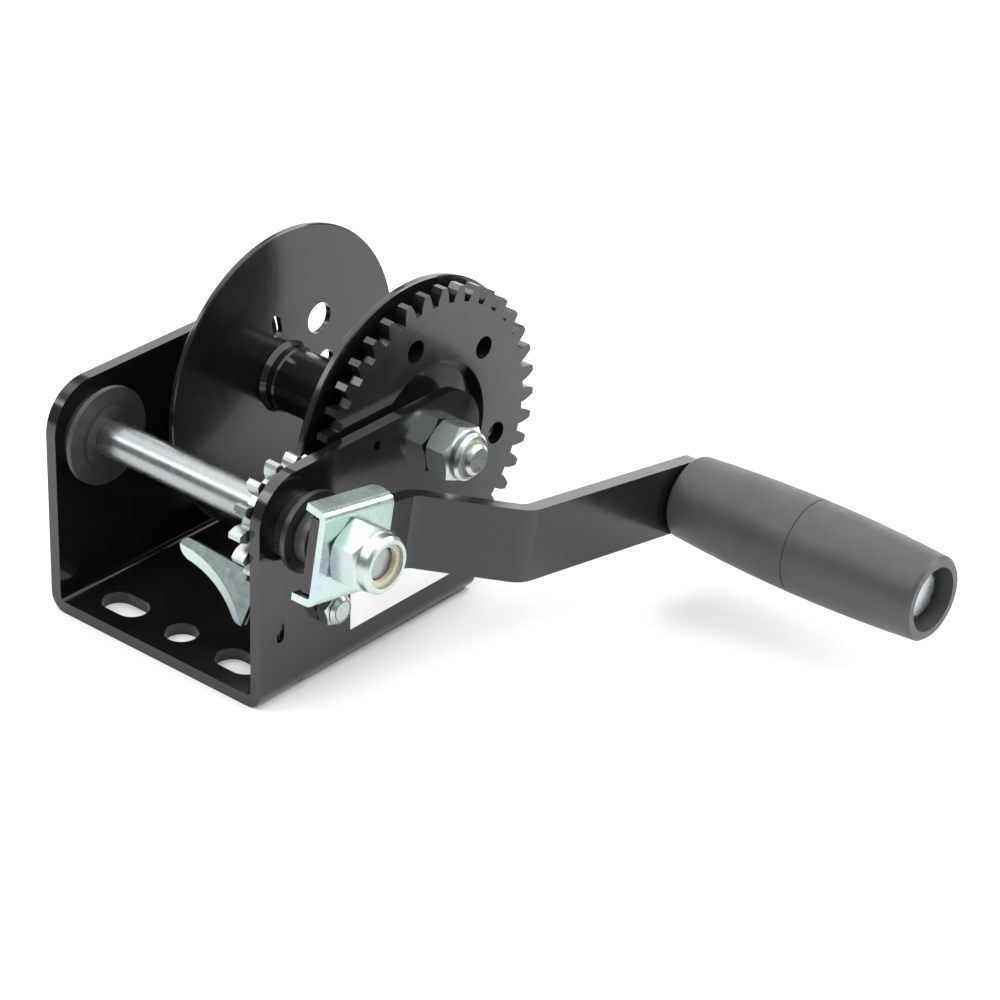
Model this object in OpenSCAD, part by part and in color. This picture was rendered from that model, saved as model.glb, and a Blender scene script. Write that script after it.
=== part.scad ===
// Boat trailer hand winch.
// X runs along the drum axle with the crank on the +X side, Y runs from the open front to the drum,
// Z is up. The origin is on the underside of the base, at the middle hole of the front bolt row.

/* [Frame] */
// Outside width of the channel frame
frame_w = 90; // [84:1:110]
// Depth of the frame from its open front to its rear edge
frame_d = 98; // [96:1:120]
// Height of the side plates
frame_h = 76.5; // [75:0.5:90]
// Thickness of the frame sheet
sheet = 4; // [3:0.5:4.5]
// Outside radius of the two bends
bend_r = 6; // [5:0.5:9]
// Radius of the side plates' upper corners
corner_r = 15.5; // [12:0.5:17]
// Distance from the front edge to the front bolt row
row_inset = 12; // [11:0.5:16]
// Width of the bolt holes and slots in the base
bolt_d = 11; // [9:0.5:12]
// Length of the two slots in the front row
slot_len = 17; // [14:0.5:20]
// Distance from the middle hole to each slot
slot_pitch = 24.5; // [22:0.5:26]
// Distance from the front row to the single rear hole
rear_hole_pitch = 66; // [40:1:74]

/* [Gearing] */
// Gear module, pitch diameter per tooth
gear_module = 2.5; // [2.5:0.5:2.5]
// Teeth on the drum gear
gear_teeth = 38; // [36:2:40]
// Teeth on the pinion
pinion_teeth = 14; // [13:1:14]
// Height of the drum axle above the underside of the base
axis_z = 59; // [57:0.5:62]
// How far the drive shaft lies below the drum axle
shaft_drop = 1; // [0:0.5:3]
// Distance from the front edge to the drive shaft
shaft_inset = 16.5; // [16:0.5:18]
// Rest angle of the drum gear
gear_phase = 2.5; // [0:0.5:9]

/* [Drum] */
// Diameter of the drum flanges
flange_d = 101; // [96:1:104]
// Diameter of the drum tube
tube_d = 21; // [20:1:30]
// Clear width between the flanges
drum_w = 50.5; // [40:0.5:52]

/* [Crank] */
// Distance from the drive shaft to the grip pin
crank_r = 133; // [110:1:180]
// Angle of the crank arm below horizontal at rest
crank_droop = 10.5; // [0:0.5:30]
// Distance of the bar's middle line below the drive shaft's axis
arm_drop = 1.5; // [0:0.5:3]
// Width of the flat bar
arm_h = 23.5; // [20:0.5:30]
// Thickness of the flat bar
arm_t = 5; // [4:0.5:6]
// Sideways step between the two straight runs of the arm
arm_step = 27; // [20:1:45]
// Length of the grip
grip_len = 92.5; // [80:0.5:110]
// Diameter of the grip at its middle
grip_d = 31; // [28:0.5:34]

/* [Hidden] */
$fn = 96;

// small overlap that keeps cutters clear of coincident faces
cut = 1;
// running clearance on radius between a shaft and its bush
run_gap = 0.06;
// side clearance between parts that turn past each other
side_gap = 0.3;

// ---- frame positions ----
near_out = frame_w / 2;
near_in = near_out - sheet;
far_out = -frame_w / 2;
far_in = far_out + sheet;
front_y = -row_inset;
rear_y = front_y + frame_d;
shaft_y = front_y + shaft_inset;
gear_pitch_r = gear_module * gear_teeth / 2;
pinion_pitch_r = gear_module * pinion_teeth / 2;
shaft_z = axis_z - shaft_drop;
centre_distance = gear_pitch_r + pinion_pitch_r;
drum_y = shaft_y + sqrt(pow(centre_distance, 2) - pow(shaft_drop, 2));
// tilt of the line from the drive shaft up to the drum axle
mesh_tilt = asin(shaft_drop / centre_distance);

// ---- shaft, axle and bushes ----
shaft_r = 6;
axle_r = 5;
bush_wall = 3;
bush_hole_r = shaft_r + bush_wall;
far_bush_flange_r = 16;
far_bush_flange_t = 1.8;
far_bush_stand = 4.4;
far_bush_neck_r = 12.5;
near_bush_flange_r = 13;
near_bush_flange_t = 1.8;
near_bush_stand = 4.8;
near_bush_neck_r = 10.5;
near_bush_face_x = near_out + near_bush_stand + near_bush_flange_t;
shaft_end_x = near_out + 32.3;
shaft_far_x = far_out - 4.5;
clip_groove_r = 5;
clip_t = 1.2;
clip_r = 9;
flat_half = 4.75;

// ---- gear and pinion ----
pressure_angle = 20;
backlash = 0.35;
tip_trim = 0.4;
gear_t = 4;
gear_out_x = near_out - 5.9;
gear_in_x = gear_out_x - gear_t;
pinion_in_x = near_out - 9.4;
pinion_out_x = near_in - 0.7;
pinion_hub_r = 8;
pinion_hub_t = 3;
hub_groove_count = 14;
hub_groove_r = 0.9;
pinion_phase = mesh_tilt - (gear_phase - mesh_tilt) * gear_teeth / pinion_teeth;
gear_hole_count = 6;
gear_hole_pitch_r = 33.4;
gear_hole_r = 3.7;
gear_hole_angle = 42;
dish_r = 23.5;
dish_wall = 2;

// ---- drum ----
flange_r = flange_d / 2;
tube_r = tube_d / 2;
flange_t = 2.5;
far_flange_t = 2;
near_flange_x = near_out - 16;
far_flange_x = near_flange_x - drum_w - far_flange_t;
tube_bore_r = 8.5;
drum_bush_lip_t = 1.5;
drum_bush_lip_r = 10;
weld_r = 1.6;
rope_hole_r = 5.2;
rope_hole_pitch_r = 21.5;
rope_hole_angle = 44;
clamp_slot_r = 2;
clamp_slot_pitch_r = 19.4;
clamp_slot_len = 8;
clamp_slot_angle = 102;
clamp_hole_r = 3.5;
clamp_hole_pitch_r = 18.5;
clamp_hole_angle = -3;

// ---- nuts and bolts ----
m12_flats = 19;
m12_hex_h = 9.6;
m12_nut_h = 14;
m12_collar_r = 9.1;
m12_ring_r = 7;
m12_ring_sink = 1.4;
m10_flats = 17;
m10_hex_h = 8.4;
m10_nut_h = 11.8;
m10_head_h = 6.4;
m10_collar_r = 7.8;
m10_ring_r = 6.2;
ring_sink = 0.4;
m6_flats = 10;
m6_hex_h = 4.3;
m6_nut_h = 6.2;
m6_head_h = 4;
m6_collar_r = 4.6;
m6_ring_r = 3.6;
m6_r = 3;
axle_washer_r = 10;
axle_washer_t = 2;
axle_proud = 14.4;
thread_gap = 0.02;

// ---- pawl ----
pawl_y = front_y + 29.5;
pawl_z = 25.1;
pawl_x = near_out - 9.5;
pawl_t = 4;
pawl_hub_r = 7;
pawl_sleeve_r = 4.2;
pawl_spring_x = pawl_x - 5;
pawl_bolt_proud = 6.2;
nose_gap = 0.45;
fin_t = 3.6;
fin_angle = 55.6;

// ---- crank ----
spacer_x = near_bush_face_x + side_gap;
spacer_big_r = 9.2;
spacer_big_t = 4.2;
spacer_r = 7.4;
arm_in_x = near_out + 14.1;
arm_out_x = arm_in_x + arm_t;
arm_tail = 11.5;
arm_bend_1 = 31;
arm_bend_2 = 53;
arm_bend_r = 4;
outer_in_x = arm_in_x + arm_step;
outer_out_x = outer_in_x + arm_t;
bracket_t = 2.3;
bracket_len = 30;
bracket_back = 13.5;
bracket_h = 30.4;
bracket_rise = 0.6;
bracket_top_lip = 8.2;
bracket_low_lip = 9;
bracket_flare = 9;
bracket_r = 3.2;
nut_seat_x = arm_out_x + bracket_t;

// ---- grip ----
grip_washer_t = 0.5;
grip_washer_r = 9;
grip_x = outer_out_x + grip_washer_t + side_gap;
grip_end_r = 13.7;
grip_pin_r = 5;
grip_cup_r = 10.4;
grip_cup_depth = 7;
pin_head_r = 8.4;
pin_head_t = 2.2;
pin_rivet_r = 7;
pin_rivet_t = 2;
grip_turn_gap = 0.08;

// ---- label ----
label_y = front_y + 39.5;
label_z = 11.7;
label_w = 47;
label_h = 20;
label_t = 0.25;

// A cylinder along +X that starts at x on the axis through y, z
module rod_x(x, length, r, y = 0, z = 0) {
    translate([x, y, z]) rotate([0, 90, 0]) cylinder(h = length, r = r);
}

// A hexagonal bar along +X
module hex_x(x, length, flats, turn = 0) {
    translate([x, 0, 0]) rotate([turn, 0, 0]) rotate([0, 90, 0])
        cylinder(h = length, r = flats / 2 / cos(30), $fn = 6);
}

// An outline of [radius, x] points turned about the X axis
module turned_x(outline) {
    rotate([0, 90, 0]) rotate_extrude() polygon(outline);
}

// Places children on the drive shaft's axis
module on_shaft() {
    translate([0, shaft_y, shaft_z]) children();
}

// Places children on the drum axle's axis
module on_axle() {
    translate([0, drum_y, axis_z]) children();
}

// Places children on the pawl's pivot axis
module on_pawl() {
    translate([0, pawl_y, pawl_z]) children();
}

// Places children in the crank's own frame: Y along the arm, Z across its width
module on_crank() {
    on_shaft() rotate([-crank_droop, 0, 0]) children();
}

// Places children on the bar's middle line
module on_bar() {
    on_crank() translate([0, 0, -arm_drop]) children();
}

// Lock nut: chamfered hexagon with a rolled collar over a nylon ring
module lock_nut(x, flats, hex_h, total_h, collar_r, ring_r, hole_r, turn = 0) {
    corner = flats / 2 / cos(30) + 0.1;
    seat = flats / 2 - 0.2;
    chamfer = corner - seat;
    difference() {
        intersection() {
            hex_x(x, total_h, flats, turn);
            turned_x([
                [0, x], [seat, x], [corner, x + chamfer * 0.6], [corner, x + hex_h - chamfer * 0.6],
                [collar_r + 0.3, x + hex_h], [collar_r, x + hex_h + 0.4],
                [collar_r, x + total_h - 1], [collar_r - 0.9, x + total_h], [0, x + total_h]
            ]);
        }
        rod_x(x - cut, total_h + 2 * cut, hole_r + thread_gap);
        rod_x(x + hex_h, total_h, ring_r);
    }
}

// Nylon ring held in the collar of a lock nut, its bore narrower past the thread's end
module nut_ring(x, hex_h, total_h, sink, ring_r, hole_r, thread_end, mouth_r) {
    difference() {
        rod_x(x + hex_h, total_h - hex_h - sink, ring_r);
        rod_x(x + hex_h - cut, thread_end + 0.05 - x - hex_h + cut, hole_r + thread_gap);
        rod_x(x + hex_h, total_h, mouth_r);
    }
}

// Bolt head with a chamfered outer rim, its bearing face at x and its top towards -X
module hex_head(x, flats, height) {
    corner = flats / 2 / cos(30) + 0.1;
    seat = flats / 2 - 0.2;
    intersection() {
        hex_x(x - height, height, flats);
        turned_x([
            [0, x - height], [seat, x - height], [corner, x - height + (corner - seat) * 0.6],
            [corner, x], [0, x]
        ]);
    }
}

// One point on an involute: base radius and unwind angle
function involute_point(base_r, unwind, turn) =
    let (r = base_r * sqrt(1 + pow(unwind * PI / 180, 2)), a = unwind - atan(unwind * PI / 180))
    [r * cos(a + turn), r * sin(a + turn)];

// Unwind angle at which an involute reaches radius r
function unwind_at(base_r, r) = 180 / PI * sqrt(max(0, pow(r / base_r, 2) - 1));

// Outline of a spur gear, its first tooth centred on the +X side of the sketch
module gear_outline(teeth, tip_r) {
    pitch_r = gear_module * teeth / 2;
    base_r = pitch_r * cos(pressure_angle);
    root_r = pitch_r - 1.25 * gear_module;
    steps = 5;
    start = unwind_at(base_r, root_r);
    finish = unwind_at(base_r, tip_r);
    pitch_unwind = unwind_at(base_r, pitch_r);
    pitch_roll = pitch_unwind - atan(pitch_unwind * PI / 180);
    half_tooth = 90 / teeth - backlash / 4 / pitch_r * 180 / PI;
    flank = [for (i = [0:steps])
        involute_point(base_r, start + (finish - start) * i / steps, -half_tooth - pitch_roll)];
    foot_angle = -half_tooth - pitch_roll;
    foot = root_r < base_r ? [[root_r * cos(foot_angle), root_r * sin(foot_angle)]] : [];
    side = concat(foot, flank);
    last = len(side) - 1;
    tooth = concat(side, [for (i = [last:-1:0]) [side[i][0], -side[i][1]]]);
    polygon([for (k = [0:teeth - 1]) for (p = tooth)
        let (a = 360 * k / teeth) [p[0] * cos(a) - p[1] * sin(a), p[0] * sin(a) + p[1] * cos(a)]]);
}

// A sketch in the Y-Z plane raised along +X from x
module raise_x(x, t) {
    translate([x, 0, 0]) rotate([90, 0, 90]) linear_extrude(height = t) children();
}

// ---- fixed parts ----

module channel_section() {
    difference() {
        union() {
            translate([-frame_w / 2, bend_r]) square([frame_w, frame_h - bend_r]);
            translate([-frame_w / 2 + bend_r, 0]) square([frame_w - 2 * bend_r, bend_r + cut]);
            for (s = [-1, 1]) translate([s * (frame_w / 2 - bend_r), bend_r]) circle(r = bend_r);
        }
        translate([far_in, bend_r]) square([near_in - far_in, frame_h]);
        translate([far_out + bend_r, sheet]) square([frame_w - 2 * bend_r, bend_r]);
        for (s = [-1, 1]) translate([s * (frame_w / 2 - bend_r), bend_r]) circle(r = bend_r - sheet);
    }
}

module side_outline() {
    for (y = [front_y + corner_r, rear_y - corner_r])
        translate([y, frame_h - corner_r]) circle(r = corner_r);
    translate([front_y, 0]) square([frame_d, frame_h - corner_r]);
    translate([front_y + corner_r, 0]) square([frame_d - 2 * corner_r, frame_h]);
}

module base_slot(x) {
    half_run = (slot_len - bolt_d) / 2;
    translate([x - half_run, 0, -cut]) cylinder(h = sheet + 2 * cut, d = bolt_d);
    translate([x + half_run, 0, -cut]) cylinder(h = sheet + 2 * cut, d = bolt_d);
    translate([x - half_run, -bolt_d / 2, -cut]) cube([2 * half_run, bolt_d, sheet + 2 * cut]);
}

module frame() {
    jig_slot_y = front_y + 8.8;
    jig_slot_z = 22.3;
    jig_slot_r = 1.6;
    jig_slot_run = 4;
    jig_hole_y = front_y + 51;
    jig_hole_z = 71;
    jig_hole_r = 1.5;
    relief_y = front_y + 15;
    relief_w = 5;
    relief_h = 3.2;
    color("#17181a") difference() {
        intersection() {
            translate([0, rear_y, 0]) rotate([90, 0, 0]) linear_extrude(height = frame_d) channel_section();
            raise_x(far_out, frame_w) side_outline();
        }
        for (s = [-1, 1]) base_slot(s * slot_pitch);
        translate([0, 0, -cut]) cylinder(h = sheet + 2 * cut, d = bolt_d);
        translate([0, rear_hole_pitch, -cut]) cylinder(h = sheet + 2 * cut, d = bolt_d);
        on_shaft() rod_x(far_out - cut, frame_w + 2 * cut, bush_hole_r);
        on_axle() rod_x(far_out - cut, frame_w + 2 * cut, axle_r + 0.1);
        on_pawl() rod_x(near_in - cut, sheet + 2 * cut, m6_r + 0.05);
        rod_x(near_in - cut, sheet + 2 * cut, jig_slot_r, jig_slot_y, jig_slot_z);
        rod_x(near_in - cut, sheet + 2 * cut, jig_slot_r, jig_slot_y, jig_slot_z + jig_slot_run);
        translate([near_in - cut, jig_slot_y - jig_slot_r, jig_slot_z])
            cube([sheet + 2 * cut, 2 * jig_slot_r, jig_slot_run]);
        rod_x(near_in - cut, sheet + 2 * cut, jig_hole_r, jig_hole_y, jig_hole_z);
        translate([near_out - bend_r, relief_y, -cut]) cube([bend_r + cut, relief_w, relief_h + cut]);
    }
}

module label() {
    color("white") translate([near_out, label_y, label_z]) cube([label_t, label_w, label_h]);
}

module far_shaft_bush() {
    outer_lip_r = 11;
    outer_lip_t = 1;
    boss_r = 10;
    boss_t = 0.8;
    face_x = far_in + far_bush_stand + far_bush_flange_t;
    color("#3a3b3d") on_shaft() difference() {
        union() {
            rod_x(far_in, far_bush_stand + cut, far_bush_neck_r);
            rod_x(far_in + far_bush_stand, far_bush_flange_t, far_bush_flange_r);
            rod_x(far_in, face_x + boss_t - far_in, boss_r);
            rod_x(far_out - outer_lip_t, sheet + outer_lip_t + cut, bush_hole_r);
            rod_x(far_out - outer_lip_t, outer_lip_t, outer_lip_r);
        }
        rod_x(far_out - 2 * outer_lip_t, face_x + 4 - far_out, shaft_r + run_gap);
    }
}

module near_shaft_bush() {
    color("#3a3b3d") on_shaft() difference() {
        union() {
            rod_x(near_in - side_gap, sheet + side_gap + cut, bush_hole_r);
            rod_x(near_out, near_bush_stand + cut, near_bush_neck_r);
            rod_x(near_out + near_bush_stand, near_bush_flange_t, near_bush_flange_r);
        }
        rod_x(near_in - cut, near_bush_face_x - near_in + 2 * cut, shaft_r + run_gap);
    }
}

module axle_bolt() {
    head_seat = far_out - axle_washer_t;
    color("silver") on_axle() {
        hex_head(head_seat, m10_flats, m10_head_h);
        rod_x(head_seat, frame_w + axle_washer_t + axle_proud - 1, axle_r);
        turned_x([[0, near_out + axle_proud - 1], [axle_r, near_out + axle_proud - 1],
            [axle_r - 1, near_out + axle_proud], [0, near_out + axle_proud]]);
    }
}

module axle_washer() {
    color("silver") on_axle() difference() {
        rod_x(far_out - axle_washer_t, axle_washer_t, axle_washer_r);
        rod_x(far_out - 2 * axle_washer_t, 4 * axle_washer_t, axle_r + 0.05);
    }
}

module spacer_tube(x, length, r) {
    difference() {
        rod_x(x, length, r);
        rod_x(x - cut, length + 2 * cut, axle_r + 0.05);
    }
}

module far_axle_spacer() {
    tube_end = far_flange_x - drum_bush_lip_t - side_gap;
    color("silver") on_axle() spacer_tube(far_in, tube_end - far_in, 9);
}

module near_axle_spacer() {
    start = near_flange_x + flange_t + gear_t + drum_bush_lip_t + side_gap;
    color("silver") on_axle() spacer_tube(start, near_in - start, 9);
}

module axle_nut() {
    color("silver") on_axle()
        lock_nut(near_out, m10_flats, m10_hex_h, m10_nut_h, m10_collar_r, m10_ring_r, axle_r, 10);
}

module axle_nut_ring() {
    color("ivory") on_axle()
        nut_ring(near_out, m10_hex_h, m10_nut_h, ring_sink, m10_ring_r, axle_r,
            near_out + axle_proud, axle_r);
}

module pawl_bolt() {
    head_seat = pawl_spring_x - side_gap;
    color("silver") on_pawl() {
        hex_head(head_seat, m6_flats, m6_head_h);
        rod_x(head_seat, near_out + pawl_bolt_proud - head_seat, m6_r);
    }
}

module pawl_spacer() {
    start = pawl_spring_x - side_gap;
    shoulder = pawl_x + pawl_t + side_gap;
    color("silver") on_pawl() difference() {
        union() {
            rod_x(start, near_in - start, pawl_sleeve_r);
            rod_x(shoulder, near_in - shoulder, pawl_hub_r - 1);
        }
        rod_x(start - cut, near_in - start + 2 * cut, m6_r + 0.02);
    }
}

// ---- pawl spring: a wire swept round the pivot sleeve, with two straight legs ----
wire_r = 0.6;
spring_turns = 2.3;
spring_pitch = 1.35;
spring_coil_r = pawl_sleeve_r + wire_r + 0.25;
spring_steps = 20;
spring_base_leg = pawl_z - sheet - wire_r - 0.1;
spring_pawl_leg = 11;
spring_start_angle = 0;
spring_end_angle = spring_start_angle + 360 * spring_turns;
spring_base_x = pawl_spring_x + wire_r + 0.2;

function coil_point(a) = [
    spring_base_x + spring_pitch * (a - spring_start_angle) / 360,
    spring_coil_r * cos(a),
    spring_coil_r * sin(a)
];
function tangent_end(a, leg) = coil_point(a) + leg * [0, -sin(a), cos(a)];
spring_path = concat(
    [tangent_end(spring_start_angle, -spring_base_leg)],
    [for (i = [0:spring_turns * spring_steps]) coil_point(spring_start_angle + 360 * i / spring_steps)],
    [tangent_end(spring_end_angle, spring_pawl_leg)]
);
function unit(v) = v / norm(v);
function path_direction(p, i) = unit(p[min(i + 1, len(p) - 1)] - p[max(i - 1, 0)]);
function ring_at(p, i, sides) =
    let (d = path_direction(p, i), u = unit(cross(d, [1, 0, 0.001])), v = cross(d, u))
    [for (k = [0:sides - 1]) p[i] + wire_r * (u * cos(360 * k / sides) + v * sin(360 * k / sides))];

module swept_wire(path, sides) {
    rings = len(path);
    points = [for (i = [0:rings - 1]) each ring_at(path, i, sides)];
    walls = [for (i = [0:rings - 2]) for (k = [0:sides - 1])
        [i * sides + k, i * sides + (k + 1) % sides,
            (i + 1) * sides + (k + 1) % sides, (i + 1) * sides + k]];
    start_cap = [for (k = [sides - 1:-1:0]) k];
    end_cap = [for (k = [0:sides - 1]) (rings - 1) * sides + k];
    polyhedron(points = points, faces = concat([start_cap], walls, [end_cap]));
}

module pawl_spring() {
    color("gainsboro") on_pawl() swept_wire(spring_path, 8);
}

module pawl_nut() {
    color("silver") on_pawl()
        lock_nut(near_out, m6_flats, m6_hex_h, m6_nut_h, m6_collar_r, m6_ring_r, m6_r, 15);
}

module pawl_nut_ring() {
    color("ivory") on_pawl()
        nut_ring(near_out, m6_hex_h, m6_nut_h, ring_sink, m6_ring_r, m6_r, near_out + pawl_bolt_proud, m6_r);
}

// ---- pawl: a plate beside the pinion with a finger fin bent inwards ----
pinion_tip_r = pinion_pitch_r + gear_module;
// the pinion's axis seen from the pawl pivot
to_pinion = [shaft_y - pawl_y, shaft_z - pawl_z];
function round_pinion(r, a) = to_pinion + r * [cos(a), sin(a)];
nose_angle = -76;
nose_tip = round_pinion(pinion_tip_r + nose_gap, nose_angle);
// behind its nose the plate follows the pinion's tips at a wider gap
relief_r = pinion_tip_r + 1.2;
relief_from = -84;
relief_to = -116;
relief_steps = 8;
relief_edge = [for (i = [0:relief_steps])
    round_pinion(relief_r, relief_from + (relief_to - relief_from) * i / relief_steps)];
fin_top = [-22.8, 16.6];
fin_w = 15.5;
fin_dir = [-cos(fin_angle), -sin(fin_angle)];
// the plate ends half way into the fin's thickness
fin_inset = [sin(fin_angle), -cos(fin_angle)] * fin_t / 2;
fin_notch = 2.6;
fin_inner_top = fin_top + fin_inset + (fin_notch + 0.6) * fin_dir;
fin_inner_bottom = fin_top + fin_inset + (fin_w - 0.7) * fin_dir;

module pawl_plate_outline() {
    difference() {
        union() {
            circle(r = pawl_hub_r);
            polygon(concat(
                [[0.5, pawl_hub_r - 0.1], nose_tip], relief_edge,
                [fin_inner_top, fin_inner_bottom, [-9, -pawl_hub_r + 1.5], [-0.5, -pawl_hub_r + 0.1]]
            ));
        }
        circle(r = pawl_sleeve_r + run_gap);
    }
}

// Finger fin in its own sketch: u runs inwards from the pawl plate, v runs down the bent edge
scoop_u = 30;
scoop_v = 47.6;
scoop_r = 43;

module fin_outline() {
    tip_u = 26.5;
    tip_v = 1.5;
    tip_r = 3;
    notch_u = 1.4;
    difference() {
        hull() {
            translate([0.3 - pawl_t, 0]) square([pawl_t, fin_w]);
            translate([tip_u, tip_v]) circle(r = tip_r);
        }
        translate([scoop_u, scoop_v]) circle(r = scoop_r);
        translate([-pawl_t, -fin_notch]) square([pawl_t + notch_u, 2 * fin_notch]);
    }
}

module pawl() {
    scoop_t = 2.7;
    scoop_w = 3.4;
    color("silver") on_pawl() {
        raise_x(pawl_x, pawl_t) pawl_plate_outline();
        translate([pawl_x, fin_top[0], fin_top[1]]) rotate([fin_angle, 0, 0])
            rotate([0, 0, 180]) difference() {
                translate([0, 0, -fin_t]) linear_extrude(height = fin_t) fin_outline();
                // the finger's edge is coined to a slope along its hollow side
                translate([scoop_u, scoop_v, -scoop_t])
                    cylinder(h = scoop_t * 1.5, r1 = scoop_r, r2 = scoop_r + scoop_w * 1.5);
            }
    }
}

// ---- turning drum ----

module drum_tube() {
    color("#17181a") on_axle() difference() {
        turned_x([
            [0, far_flange_x + far_flange_t], [tube_r + weld_r, far_flange_x + far_flange_t],
            [tube_r + 0.4, far_flange_x + far_flange_t + weld_r],
            [tube_r + 0.4, far_flange_x + far_flange_t + 4], [tube_r, far_flange_x + far_flange_t + 4.6],
            [tube_r, near_flange_x - weld_r], [tube_r + weld_r, near_flange_x], [0, near_flange_x]
        ]);
        rod_x(far_flange_x, drum_w + 2 * flange_t, tube_bore_r);
    }
}

module flange_disc(x, t) {
    edge = 0.4;
    difference() {
        turned_x([
            [0, x], [flange_r - edge, x], [flange_r, x + edge], [flange_r, x + t - edge],
            [flange_r - edge, x + t], [0, x + t]
        ]);
        rod_x(x - cut, t + 2 * cut, tube_bore_r);
    }
}

// A through hole in a flange at a radius and an angle from the axle
module flange_hole(x, r, at_r, angle) {
    rotate([angle, 0, 0]) rod_x(x - cut, gear_t + 2 * cut, r, at_r, 0);
}

module far_flange() {
    x = far_flange_x;
    half_run = clamp_slot_len / 2 - clamp_slot_r;
    color("#17181a") on_axle() difference() {
        flange_disc(x, far_flange_t);
        flange_hole(x, rope_hole_r, rope_hole_pitch_r, rope_hole_angle);
        flange_hole(x, clamp_hole_r, clamp_hole_pitch_r, clamp_hole_angle);
        for (s = [-1, 1]) flange_hole(x, clamp_slot_r, clamp_slot_pitch_r + s * half_run, clamp_slot_angle);
        rotate([clamp_slot_angle, 0, 0])
            translate([x - cut, clamp_slot_pitch_r - half_run, -clamp_slot_r])
                cube([far_flange_t + 2 * cut, 2 * half_run, 2 * clamp_slot_r]);
    }
}

module near_flange() {
    color("#17181a") on_axle() flange_disc(near_flange_x, flange_t);
}

module drum_gear() {
    web_x = near_flange_x + flange_t;
    step_r = dish_r + dish_wall;
    color("#17181a") on_axle() difference() {
        union() {
            rotate([gear_phase + 180 / gear_teeth, 0, 0]) raise_x(gear_in_x, gear_t)
                gear_outline(gear_teeth, gear_pitch_r + gear_module - tip_trim);
            turned_x([
                [0, web_x], [step_r - 1, web_x], [step_r + dish_wall, gear_in_x + 0.5],
                [step_r + dish_wall, gear_in_x + gear_t], [0, gear_in_x + gear_t]
            ]);
        }
        turned_x([
            [0, web_x + gear_t], [dish_r, web_x + gear_t], [dish_r + dish_wall, gear_out_x],
            [dish_r + dish_wall, gear_out_x + cut], [0, gear_out_x + cut]
        ]);
        rod_x(web_x - cut, gear_t + 2 * cut, tube_bore_r);
        for (k = [0:gear_hole_count - 1])
            flange_hole(gear_in_x, gear_hole_r, gear_hole_pitch_r, gear_hole_angle + 60 * k);
    }
}

module drum_bushes() {
    near_end = near_flange_x + flange_t + gear_t;
    sleeve = 16;
    color("#3a3b3d") on_axle() {
        difference() {
            union() {
                rod_x(far_flange_x - drum_bush_lip_t, drum_bush_lip_t, drum_bush_lip_r);
                rod_x(far_flange_x - drum_bush_lip_t, sleeve, tube_bore_r);
            }
            rod_x(far_flange_x - drum_bush_lip_t - cut, sleeve + 2 * cut, axle_r + run_gap);
        }
        difference() {
            union() {
                rod_x(near_end, drum_bush_lip_t, drum_bush_lip_r);
                rod_x(near_end + drum_bush_lip_t - sleeve, sleeve, tube_bore_r);
            }
            rod_x(near_end - sleeve, sleeve + drum_bush_lip_t + cut, axle_r + run_gap);
        }
    }
}

// ---- turning shaft and crank ----

// The two flats that carry the crank's torque, as a bar across the shaft's section
module flatted_bar(x, length, r, half) {
    intersection() {
        rod_x(x, length, r);
        translate([x, -r, -half]) cube([length, 2 * r, 2 * half]);
    }
}

module drive_shaft() {
    groove_x = far_out - 1 - side_gap;
    color("silver") on_crank() {
        difference() {
            turned_x([
                [0, shaft_far_x], [shaft_r - 0.6, shaft_far_x], [shaft_r, shaft_far_x + 0.6],
                [shaft_r, arm_in_x], [0, arm_in_x]
            ]);
            difference() {
                rod_x(groove_x - clip_t, clip_t, shaft_r + cut);
                rod_x(groove_x - clip_t - cut, clip_t + 2 * cut, clip_groove_r);
            }
        }
        flatted_bar(arm_in_x, arm_t + bracket_t, shaft_r, flat_half);
        turned_x([
            [0, nut_seat_x], [shaft_r, nut_seat_x], [shaft_r, shaft_end_x - 1.3],
            [shaft_r - 1.3, shaft_end_x], [0, shaft_end_x]
        ]);
    }
}

module pinion() {
    color("silver") on_shaft() difference() {
        union() {
            rotate([pinion_phase, 0, 0]) raise_x(pinion_in_x, pinion_out_x - pinion_in_x)
                gear_outline(pinion_teeth, pinion_tip_r - tip_trim / 2);
            rod_x(pinion_in_x - pinion_hub_t, pinion_hub_t + cut, pinion_hub_r);
        }
        for (k = [0:hub_groove_count - 1]) rotate([360 * k / hub_groove_count, 0, 0])
            rod_x(pinion_in_x - pinion_hub_t - cut, pinion_hub_t + cut, hub_groove_r, pinion_hub_r, 0);
        rod_x(pinion_in_x - pinion_hub_t - cut, pinion_out_x - pinion_in_x + pinion_hub_t + 2 * cut, shaft_r);
    }
}

module shaft_clip() {
    clip_x = far_out - 1 - side_gap - clip_t;
    color("silver") on_crank() difference() {
        rod_x(clip_x, clip_t, clip_r);
        rod_x(clip_x - cut, clip_t + 2 * cut, clip_groove_r);
        translate([clip_x - cut, 0, -clip_groove_r * 0.85])
            cube([clip_t + 2 * cut, clip_r * 2, clip_groove_r * 1.7]);
    }
}

module crank_spacer() {
    color("#6c6e70") on_shaft() difference() {
        union() {
            rod_x(spacer_x, spacer_big_t, spacer_big_r);
            rod_x(spacer_x, arm_in_x - spacer_x, spacer_r);
        }
        rod_x(spacer_x - cut, arm_in_x - spacer_x + 2 * cut, shaft_r);
    }
}

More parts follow.
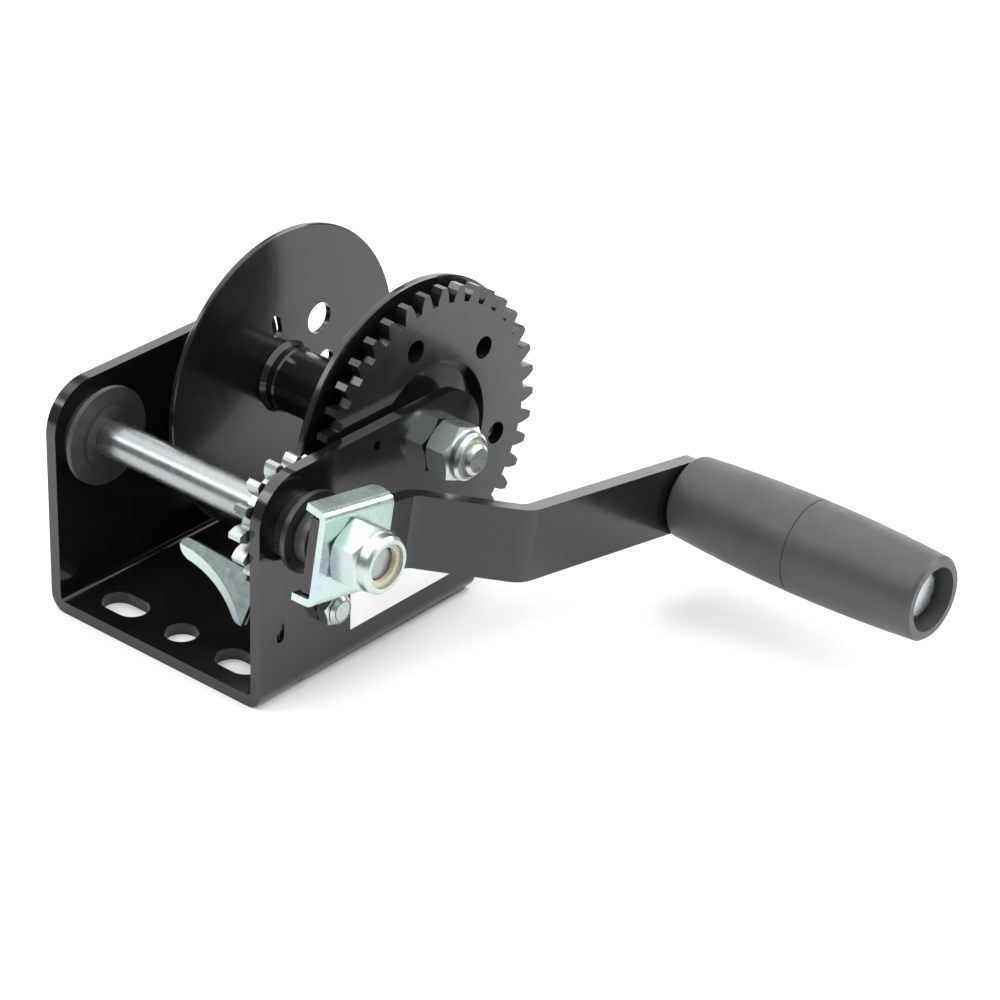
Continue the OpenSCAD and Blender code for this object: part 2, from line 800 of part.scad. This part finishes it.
// Middle line of the bent arm as [along, x], its two bends rounded by arcs
arm_mid_1 = arm_in_x + arm_t / 2;
arm_mid_2 = outer_in_x + arm_t / 2;
arm_slope = atan2(arm_step, arm_bend_2 - arm_bend_1);
arm_arc_r = arm_bend_r + arm_t / 2;
arm_setback = arm_arc_r * tan(arm_slope / 2);
arm_arc_steps = 8;
arm_first_arc = [for (i = [0:arm_arc_steps])
    let (a = -90 + arm_slope * i / arm_arc_steps)
    [[arm_bend_1 - arm_setback, arm_mid_1 + arm_arc_r], a, 1]];
arm_second_arc = [for (i = [0:arm_arc_steps])
    let (a = 90 + arm_slope * (1 - i / arm_arc_steps))
    [[arm_bend_2 + arm_setback, arm_mid_2 - arm_arc_r], a, -1]];
arm_end = crank_r + arm_h / 2 + 1;
// One side of the bar: way is +1 for the outer face and -1 for the inner one
function arm_side(way) = concat(
    [[-arm_tail, arm_mid_1 + way * arm_t / 2]],
    [for (q = concat(arm_first_arc, arm_second_arc))
        q[0] + (arm_arc_r - way * q[2] * arm_t / 2) * [cos(q[1]), sin(q[1])]],
    [[arm_end, arm_mid_2 + way * arm_t / 2]]
);

module crank_arm() {
    outer = arm_side(1);
    inner = arm_side(-1);
    last = len(inner) - 1;
    bar = concat(outer, [for (i = [last:-1:0]) inner[i]]);
    color("#17181a") on_bar() difference() {
        intersection() {
            translate([0, 0, -arm_h / 2]) linear_extrude(height = arm_h)
                polygon([for (p = bar) [p[1], p[0]]]);
            union() {
                translate([0, -arm_tail, -arm_h / 2]) cube([outer_out_x + 5, arm_tail + crank_r, arm_h]);
                rod_x(0, outer_out_x + 5, arm_h / 2, crank_r, 0);
            }
        }
        translate([0, 0, arm_drop])
            flatted_bar(arm_in_x - cut, arm_t + 2 * cut, shaft_r + 0.03, flat_half + 0.03);
        rod_x(outer_in_x - cut, arm_t + 2 * cut, grip_pin_r - 1, crank_r, 0);
    }
}

// Bracket section in the [x, height] plane: the web, two rounded folds and the two lips
module bracket_section() {
    half = bracket_h / 2;
    inner_r = bracket_r - bracket_t;
    fold_x = nut_seat_x - bracket_r;
    translate([nut_seat_x - bracket_t, bracket_r - half]) square([bracket_t, bracket_h - 2 * bracket_r]);
    for (s = [-1, 1]) intersection() {
        translate([fold_x, s * (half - bracket_r)]) difference() {
            circle(r = bracket_r);
            circle(r = inner_r);
        }
        translate([fold_x - 0.6, s > 0 ? half - bracket_r : -half]) square([2 * bracket_r, bracket_r]);
    }
    translate([nut_seat_x - bracket_low_lip, -half]) square([bracket_low_lip - bracket_r, bracket_t]);
    translate([fold_x, half - bracket_r]) rotate(-bracket_flare)
        translate([bracket_r - bracket_top_lip, inner_r])
            square([bracket_top_lip - bracket_r + 0.1, bracket_t]);
}

module crank_bracket() {
    corner = 4;
    color("gainsboro") on_crank() difference() {
        translate([0, bracket_len - bracket_back, bracket_rise - arm_drop]) rotate([90, 0, 0])
            linear_extrude(height = bracket_len) bracket_section();
        flatted_bar(arm_out_x - cut, bracket_t + 2 * cut, shaft_r + 0.03, flat_half + 0.03);
        // the top lip's free corner towards the arm is cut round
        translate([nut_seat_x - bracket_top_lip - cut, bracket_len - bracket_back - corner, 0])
            difference() {
                cube([corner + cut, corner + cut, bracket_h]);
                translate([corner + cut, 0, -cut]) cylinder(h = bracket_h + 2 * cut, r = corner);
            }
    }
}

module crank_nut() {
    color("silver") on_crank()
        lock_nut(nut_seat_x, m12_flats, m12_hex_h, m12_nut_h, m12_collar_r, m12_ring_r, shaft_r, 8);
}

module crank_nut_ring() {
    color("ivory") on_crank()
        nut_ring(nut_seat_x, m12_hex_h, m12_nut_h, m12_ring_sink, m12_ring_r, shaft_r,
            shaft_end_x, shaft_r - 0.6);
}

module grip_pin() {
    head_x = grip_x + grip_len - grip_cup_depth + side_gap;
    color("silver") on_bar() translate([0, crank_r, 0]) {
        rod_x(outer_out_x, head_x - outer_out_x, grip_pin_r);
        turned_x([
            [0, head_x], [pin_head_r, head_x], [pin_head_r, head_x + pin_head_t - 0.8],
            [pin_head_r - 1.6, head_x + pin_head_t], [0, head_x + pin_head_t]
        ]);
        rod_x(outer_in_x, arm_t, grip_pin_r - 1);
        turned_x([
            [0, outer_in_x - pin_rivet_t], [pin_rivet_r - 2, outer_in_x - pin_rivet_t],
            [pin_rivet_r, outer_in_x - 0.6], [pin_rivet_r, outer_in_x], [0, outer_in_x]
        ]);
    }
}

module grip_washer() {
    color("silver") on_bar() translate([0, crank_r, 0]) difference() {
        rod_x(outer_out_x, grip_washer_t, grip_washer_r);
        rod_x(outer_out_x - cut, grip_washer_t + 2 * cut, grip_pin_r + 0.02);
    }
}

module grip() {
    end_x = grip_x + grip_len;
    mid_x = grip_x + grip_len / 2;
    edge = 1;
    seam_w = 0.5;
    mid_r = grip_d / 2;
    // barrel profile: the radius falls off with the square of the distance from the middle
    steps = 10;
    barrel = [for (i = [0:steps])
        let (k = 2 * i / steps - 1)
        [mid_r - (mid_r - grip_end_r) * k * k, grip_x + edge + (grip_len - 2 * edge) * i / steps]];
    color("#55575a") on_bar() translate([0, crank_r, 0]) difference() {
        turned_x(concat(
            [[0, grip_x], [grip_end_r - edge, grip_x]], barrel,
            [[grip_end_r - edge, end_x], [0, end_x]]
        ));
        difference() {
            rod_x(mid_x, seam_w, mid_r + cut);
            rod_x(mid_x - cut, seam_w + 2 * cut, mid_r - 0.25);
        }
        rod_x(grip_x - cut, grip_len + 2 * cut, grip_pin_r + grip_turn_gap);
        rod_x(end_x - grip_cup_depth, grip_cup_depth + cut, grip_cup_r);
    }
}

frame();
label();
far_shaft_bush();
near_shaft_bush();
axle_bolt();
axle_washer();
far_axle_spacer();
near_axle_spacer();
axle_nut();
axle_nut_ring();
pawl_bolt();
pawl_spacer();
pawl_spring();
pawl_nut();
pawl_nut_ring();
pawl();
drum_tube();
far_flange();
near_flange();
drum_gear();
drum_bushes();
drive_shaft();
pinion();
shaft_clip();
crank_spacer();
crank_arm();
crank_bracket();
crank_nut();
crank_nut_ring();
grip_pin();
grip_washer();
grip();
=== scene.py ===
import math

import bpy
from mathutils import Matrix, Vector


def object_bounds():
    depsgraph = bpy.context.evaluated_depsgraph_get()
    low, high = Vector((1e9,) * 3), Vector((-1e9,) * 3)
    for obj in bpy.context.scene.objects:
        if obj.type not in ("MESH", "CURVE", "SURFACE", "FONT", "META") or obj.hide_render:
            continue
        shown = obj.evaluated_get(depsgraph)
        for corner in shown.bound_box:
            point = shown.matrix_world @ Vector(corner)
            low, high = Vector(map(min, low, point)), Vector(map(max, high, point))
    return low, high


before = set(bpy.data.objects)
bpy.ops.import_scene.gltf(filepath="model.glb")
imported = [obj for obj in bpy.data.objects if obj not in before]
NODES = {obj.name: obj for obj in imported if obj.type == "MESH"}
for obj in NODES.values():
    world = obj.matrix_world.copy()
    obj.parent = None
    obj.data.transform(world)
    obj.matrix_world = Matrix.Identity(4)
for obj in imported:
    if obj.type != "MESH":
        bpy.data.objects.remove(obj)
cad_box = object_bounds()
MM = 0.001


# ---------------------------------------------------------------- node helpers

class Graph:
    """A small helper that adds and links the nodes of one material."""

    def __init__(self, name):
        self.mat = bpy.data.materials.new(name)
        self.mat.use_nodes = True
        self.tree = self.mat.node_tree
        self.bsdf = self.tree.nodes["Principled BSDF"]
        self.coord = self.add("ShaderNodeTexCoord").outputs["Object"]

    def add(self, kind, **props):
        node = self.tree.nodes.new(kind)
        for key, value in props.items():
            setattr(node, key, value)
        return node

    def link(self, a, b):
        self.tree.links.new(a, b)

    def put(self, **values):
        """Sets constant values on the shader's own sockets."""
        for key, value in values.items():
            self.bsdf.inputs[key.replace("_", " ")].default_value = value

    def scaled(self, scale):
        node = self.add("ShaderNodeMapping")
        node.inputs["Scale"].default_value = scale
        self.link(self.coord, node.inputs["Vector"])
        return node.outputs["Vector"]

    def noise(self, scale, detail=4.0, rough=0.5, vector=None, distortion=0.0):
        node = self.add("ShaderNodeTexNoise")
        node.inputs["Scale"].default_value = scale
        node.inputs["Detail"].default_value = detail
        node.inputs["Roughness"].default_value = rough
        node.inputs["Distortion"].default_value = distortion
        self.link(vector or self.coord, node.inputs["Vector"])
        return node.outputs["Fac"]

    def voronoi(self, scale):
        node = self.add("ShaderNodeTexVoronoi", feature="F1")
        node.inputs["Scale"].default_value = scale
        self.link(self.coord, node.inputs["Vector"])
        return node.outputs["Distance"]

    def ramp(self, fac, stops):
        node = self.add("ShaderNodeValToRGB")
        ramp = node.color_ramp
        while len(ramp.elements) > len(stops):
            ramp.elements.remove(ramp.elements[-1])
        while len(ramp.elements) < len(stops):
            ramp.elements.new(1.0)
        for element, (pos, colour) in zip(ramp.elements, stops):
            element.position = pos
            element.color = (*colour, 1.0)
        self.link(fac, node.inputs["Fac"])
        return node.outputs["Color"]

    def math(self, op, a, b):
        node = self.add("ShaderNodeMath", operation=op)
        for socket, value in zip(node.inputs, (a, b)):
            if isinstance(value, (int, float)):
                socket.default_value = value
            else:
                self.link(value, socket)
        return node.outputs["Value"]

    def remap(self, fac, low, high, to_low, to_high):
        node = self.add("ShaderNodeMapRange", clamp=True)
        ends = (("From Min", low), ("From Max", high), ("To Min", to_low), ("To Max", to_high))
        for key, value in ends:
            node.inputs[key].default_value = value
        self.link(fac, node.inputs["Value"])
        return node.outputs["Result"]

    def mix(self, fac, a, b):
        """Mixes two colours; the sockets 0, 6, 7 and 2 are the factor, A, B and the result."""
        node = self.add("ShaderNodeMix", data_type="RGBA", blend_type="MIX")
        for socket, value in ((node.inputs[0], fac), (node.inputs[6], a), (node.inputs[7], b)):
            if isinstance(value, tuple):
                socket.default_value = (*value, 1.0)
            else:
                self.link(value, socket)
        return node.outputs[2]

    def bump(self, *layers):
        """Chains bump layers of (height, strength, distance in metres)."""
        normal = None
        for height, strength, distance in layers:
            node = self.add("ShaderNodeBump")
            node.inputs["Strength"].default_value = strength
            node.inputs["Distance"].default_value = distance
            self.link(height, node.inputs["Height"])
            if normal is not None:
                self.link(normal, node.inputs["Normal"])
            normal = node.outputs["Normal"]
        self.link(normal, self.bsdf.inputs["Normal"])

    def colour(self, value):
        self.link(value, self.bsdf.inputs["Base Color"])

    def roughness(self, value):
        self.link(value, self.bsdf.inputs["Roughness"])


# ------------------------------------------------------------------- materials

def two_tones(base, low, high, starts):
    """Ramp stops from a dark to a light version of one grey."""
    return [(start, tuple(base * factor for factor in factors))
            for start, factors in zip(starts, (low, high))]


def black_paint(name="black_paint", base=0.006, rough=0.13, level=0.5):
    """Stoved black enamel: soft gloss, fine orange peel, faint dust and handling marks."""
    g = Graph(name)
    patches = g.noise(38.0, 5.0, 0.6)
    dust = g.noise(900.0, 3.0, 0.7)
    tone = g.ramp(patches, two_tones(base, (0.8, 0.8, 0.84), (1.25, 1.25, 1.3), (0.3, 0.7)))
    fleck = g.remap(dust, 0.70, 0.80, 0.0, 0.05)
    g.colour(g.mix(fleck, tone, (0.10, 0.10, 0.105)))
    smear = g.noise(90.0, 6.0, 0.65, distortion=0.6)
    smeared = g.remap(smear, 0.3, 0.75, rough - 0.05, rough + 0.07)
    g.roughness(g.math("ADD", smeared, g.math("MULTIPLY", fleck, 0.6)))
    g.put(Metallic=0.0, Coat_Weight=0.15, Coat_Roughness=0.05, IOR=1.5, Specular_IOR_Level=level)
    g.bump((g.noise(420.0, 2.0, 0.5), 0.08, 0.00010), (g.noise(2600.0, 2.0, 0.5), 0.04, 0.00002))
    return g.mat


def zinc_plate(name="zinc_plate", level=1.0, tint=1.0, rough=0.22,
               along=(1.0, 1.0, 1.0), grain_bump=0.08, pits=0.10):
    """Bright zinc plate with the blue, green and violet bloom of its clear passivation."""
    g = Graph(name)
    cloud = g.noise(42.0, 3.0, 0.5, distortion=0.6)
    tones = [
        (0.28, (0.44, 0.49, 0.58)), (0.42, (0.50, 0.59, 0.59)), (0.54, (0.47, 0.60, 0.55)),
        (0.66, (0.54, 0.57, 0.56)), (0.80, (0.48, 0.48, 0.58)),
    ]
    grey = 0.53
    # level scales the whole colour per part: above 1 it is painted light, below 1 painted shade
    tinted = [(pos, tuple(level * (grey + (c - grey) * tint) for c in rgb)) for pos, rgb in tones]
    base = g.ramp(cloud, tinted)
    speck = g.remap(g.noise(1300.0, 3.0, 0.6), 0.60, 0.76, 0.0, pits)
    g.colour(g.mix(speck, base, (0.25 * level, 0.26 * level, 0.28 * level)))
    grain = g.noise(380.0, 3.0, 0.6, vector=g.scaled(along))
    uneven = g.math("ADD", g.math("MULTIPLY", cloud, 0.4), g.math("MULTIPLY", grain, 0.6))
    g.roughness(g.remap(uneven, 0.3, 0.7, rough - 0.06, rough + 0.10))
    g.put(Metallic=1.0)
    g.bump((grain, grain_bump, 0.00006), (g.noise(1900.0, 2.0, 0.5), 0.05, 0.00003))
    return g.mat


def bush_plastic(name="bush_plastic", base=0.030, rough=0.48):
    """Dark moulded nylon with a fine grain and patches of uneven sheen."""
    g = Graph(name)
    patches = g.noise(120.0, 4.0, 0.6)
    tones = two_tones(base, (0.8, 0.82, 0.85), (1.35, 1.37, 1.42), (0.3, 0.72))
    g.colour(g.ramp(patches, tones))
    g.roughness(g.remap(g.noise(260.0, 4.0, 0.6), 0.3, 0.7, rough - 0.12, rough + 0.10))
    g.put(Metallic=0.0, IOR=1.5)
    g.bump((g.noise(1500.0, 3.0, 0.6), 0.18, 0.00006))
    return g.mat


def grip_plastic():
    """Charcoal moulded plastic with a fine spark-eroded grain."""
    g = Graph("grip_plastic")
    patches = g.noise(45.0, 5.0, 0.6)
    base = g.ramp(patches, [(0.3, (0.040, 0.040, 0.042)), (0.72, (0.056, 0.056, 0.059))])
    speck = g.remap(g.noise(2200.0, 2.0, 0.5), 0.60, 0.74, 0.0, 0.25)
    g.colour(g.mix(speck, base, (0.085, 0.085, 0.09)))
    g.roughness(g.remap(g.noise(160.0, 5.0, 0.6, distortion=0.4), 0.3, 0.72, 0.40, 0.52))
    g.put(Metallic=0.0, IOR=1.5)
    g.bump((g.voronoi(1500.0), 0.16, 0.00007), (g.noise(3000.0, 3.0, 0.6), 0.12, 0.00004))
    return g.mat


def nylon():
    """Ivory nylon of a lock nut's ring, slightly waxy."""
    g = Graph("nylon_ring")
    patches = g.noise(300.0, 3.0, 0.5)
    g.colour(g.ramp(patches, [(0.3, (0.46, 0.42, 0.31)), (0.7, (0.58, 0.54, 0.42))]))
    g.roughness(g.remap(g.noise(700.0, 3.0, 0.5), 0.3, 0.7, 0.34, 0.48))
    g.put(Subsurface_Weight=0.15, Subsurface_Scale=0.001)
    g.bump((g.noise(1200.0, 2.0, 0.5), 0.12, 0.00005))
    return g.mat


def label_film():
    """Blank white polyester film with a faint satin mottle."""
    g = Graph("label_film")
    patches = g.noise(60.0, 4.0, 0.6)
    g.colour(g.ramp(patches, [(0.3, (0.86, 0.87, 0.88)), (0.7, (0.91, 0.92, 0.93))]))
    g.roughness(g.remap(g.noise(200.0, 4.0, 0.6), 0.3, 0.7, 0.26, 0.36))
    g.put(Coat_Weight=0.2, Coat_Roughness=0.15)
    g.bump((g.noise(500.0, 2.0, 0.5), 0.08, 0.00004))
    return g.mat


def spring_steel():
    """Drawn wire and stamped clip: darker bare steel with drawing lines."""
    g = Graph("spring_steel")
    lines = g.noise(800.0, 3.0, 0.6, vector=g.scaled((0.3, 1.0, 1.0)))
    g.colour(g.ramp(lines, [(0.3, (0.34, 0.34, 0.35)), (0.7, (0.50, 0.50, 0.51))]))
    g.roughness(g.remap(lines, 0.3, 0.7, 0.25, 0.42))
    g.put(Metallic=1.0)
    g.bump((lines, 0.15, 0.00004))
    return g.mat


PAINT = black_paint()
ARM_PAINT = black_paint("black_paint_arm", base=0.007, rough=0.20)
DRUM_PAINT = black_paint("black_paint_drum", base=0.006, rough=0.18, level=0.45)
# the level of each zinc copy is painted light and shade: the axle nut and bolt are painted
# lighter, the plain nuts, bracket, pinion and shaft painted darker, the shaft darkest
ZINC = zinc_plate()
ZINC_NUT = zinc_plate("zinc_nut", level=0.90, tint=0.7, rough=0.27, grain_bump=0.14, pits=0.3)
ZINC_AXLE_NUT = zinc_plate(
    "zinc_axle_nut", level=1.15, tint=0.6, rough=0.30, grain_bump=0.14, pits=0.3)
ZINC_SHAFT = zinc_plate(
    "zinc_shaft", level=0.62, tint=0.5, rough=0.27,
    along=(0.8, 1.0, 1.0), grain_bump=0.16, pits=0.7)
ZINC_BRACKET = zinc_plate("zinc_bracket", level=0.93, tint=1.15, rough=0.25)
ZINC_GEAR = zinc_plate("zinc_pinion", level=0.80, tint=0.5, rough=0.30, pits=0.2)
BUSH = bush_plastic()
NEAR_BUSH = bush_plastic("near_bush_plastic", base=0.014, rough=0.36)
SPACER = bush_plastic("spacer_plastic", base=0.050, rough=0.38)
GRIP = grip_plastic()
NYLON = nylon()
LABEL = label_film()
SPRING = spring_steel()

FINISH = {
    "frame": PAINT, "label": LABEL, "far_shaft_bush": BUSH, "near_shaft_bush": NEAR_BUSH,
    "axle_bolt": ZINC_AXLE_NUT, "axle_washer": ZINC, "far_axle_spacer": ZINC,
    "near_axle_spacer": ZINC, "axle_nut": ZINC_AXLE_NUT, "axle_nut_ring": NYLON,
    "pawl_bolt": ZINC_NUT, "pawl_spacer": ZINC, "pawl_spring": SPRING, "pawl_nut": ZINC_NUT,
    "pawl_nut_ring": NYLON, "pawl": ZINC,
    "drum_tube": DRUM_PAINT, "far_flange": DRUM_PAINT, "near_flange": DRUM_PAINT,
    "drum_gear": DRUM_PAINT, "drum_bushes": BUSH,
    "drive_shaft": ZINC_SHAFT, "pinion": ZINC_GEAR, "shaft_clip": SPRING,
    "crank_spacer": SPACER, "crank_arm": ARM_PAINT, "crank_bracket": ZINC_BRACKET,
    "crank_nut": ZINC_NUT, "crank_nut_ring": NYLON, "grip_pin": ZINC_NUT, "grip_washer": ZINC,
    "grip": GRIP,
}
# how far each node's sharp edges are rounded, in millimetres
EDGE = {
    "frame": 0.6, "crank_arm": 1.0, "crank_bracket": 0.5, "pawl": 0.9, "drum_gear": 0.3,
    "pinion": 0.45, "far_flange": 0.3, "near_flange": 0.35, "axle_nut": 0.3, "crank_nut": 0.35,
    "pawl_nut": 0.2, "far_shaft_bush": 0.4, "near_shaft_bush": 0.5, "crank_spacer": 0.3,
    "drive_shaft": 0.15, "grip": 0.25, "grip_pin": 0.3, "axle_bolt": 0.25, "pawl_bolt": 0.4,
}
EDGE_STEPS = 3
# an edge that turns by less than this stays smooth
EDGE_ANGLE = math.radians(38)

for name, obj in NODES.items():
    obj.data.materials.clear()
    obj.data.materials.append(FINISH[name])
    for poly in obj.data.polygons:
        poly.material_index = 0
    if name in EDGE:
        bevel = obj.modifiers.new("edge", "BEVEL")
        bevel.width = EDGE[name] * MM
        bevel.segments = EDGE_STEPS
        bevel.limit_method = "ANGLE"
        bevel.angle_limit = EDGE_ANGLE
        bevel.use_clamp_overlap = True
        bevel.harden_normals = False
        bevel.miter_outer = "MITER_ARC"


# ------------------------------------------------------- floor, light and camera

def floor_material():
    """Matt white studio paper, a little uneven."""
    g = Graph("studio_floor")
    tone = g.noise(3.0, 2.0, 0.5)
    g.colour(g.ramp(tone, [(0.3, (0.90, 0.90, 0.90)), (0.7, (0.92, 0.92, 0.92))]))
    g.roughness(g.remap(tone, 0.3, 0.7, 0.85, 0.9))
    g.put(Specular_IOR_Level=0.1)
    return g.mat


def area(name, place, target, size, energy):
    """A white soft box in metres and watts, its face turned to the target."""
    light = bpy.data.lights.new(name, "AREA")
    light.shape = "RECTANGLE"
    light.size, light.size_y = size
    light.energy = energy
    obj = bpy.data.objects.new(name, light)
    bpy.context.scene.collection.objects.link(obj)
    turn = (Vector(target) - Vector(place)).to_track_quat("-Z", "Y")
    obj.matrix_world = Matrix.Translation(place) @ turn.to_matrix().to_4x4()


FLOOR_HALF = 6.0
SQUARE = ((-1, -1), (1, -1), (1, 1), (-1, 1))
lowest = cad_box[0][2]
corners = [(x * FLOOR_HALF, y * FLOOR_HALF, lowest) for x, y in SQUARE]
mesh = bpy.data.meshes.new("floor")
mesh.from_pydata(corners, [], [(0, 1, 2, 3)])
floor = bpy.data.objects.new("floor", mesh)
bpy.context.scene.collection.objects.link(floor)
mesh.materials.append(floor_material())

scene = bpy.context.scene
world = bpy.data.worlds.new("studio")
world.use_nodes = True
backdrop = world.node_tree.nodes["Background"]
backdrop.inputs["Color"].default_value = (1.0, 1.0, 1.0, 1.0)
backdrop.inputs["Strength"].default_value = 0.32
scene.world = world

# name, place, target, size and energy of each soft box
LIGHTS = (
    ("top_soft", (0.1, 0.0, 1.5), (0.1, 0.0, 0.0), (2.8, 2.8), 58.0),
    ("back_soft", (-0.95, 1.15, 0.48), (0.05, 0.0, 0.03), (1.9, 0.9), 9.0),
    ("back_right", (0.85, 1.15, 0.95), (0.10, 0.05, 0.04), (1.0, 0.6), 14.0),
    ("key_left", (-0.9, -0.9, 1.1), (0.05, 0.05, 0.04), (0.5, 0.5), 4.0),
    ("rim_right", (1.4, 0.3, 0.9), (0.08, 0.05, 0.04), (0.5, 0.5), 2.5),
)
for light in LIGHTS:
    area(*light)

# the camera stands where the photograph's did, worked out from the object's own parallel edges
CAMERA_PLACE = Vector((0.6923, -0.6832, 0.6008))
CAMERA_RIGHT = Vector((0.7597, 0.6498, 0.0269))
CAMERA_BACK = Vector((0.5559, -0.6703, 0.4917))
SENSOR_WIDTH = 36.0
LENS = 132.8
camera_data = bpy.data.cameras.new("camera")
camera = bpy.data.objects.new("camera", camera_data)
scene.collection.objects.link(camera)
back = CAMERA_BACK.normalized()
up = back.cross(CAMERA_RIGHT.normalized()).normalized()
right = up.cross(back).normalized()
turn = Matrix((right, up, back)).transposed().to_4x4()
camera.matrix_world = Matrix.Translation(CAMERA_PLACE) @ turn
camera_data.sensor_width = SENSOR_WIDTH
camera_data.lens = LENS
camera_data.clip_start = 0.01
camera_data.clip_end = 50.0
scene.camera = camera
scene.view_settings.view_transform = "Standard"
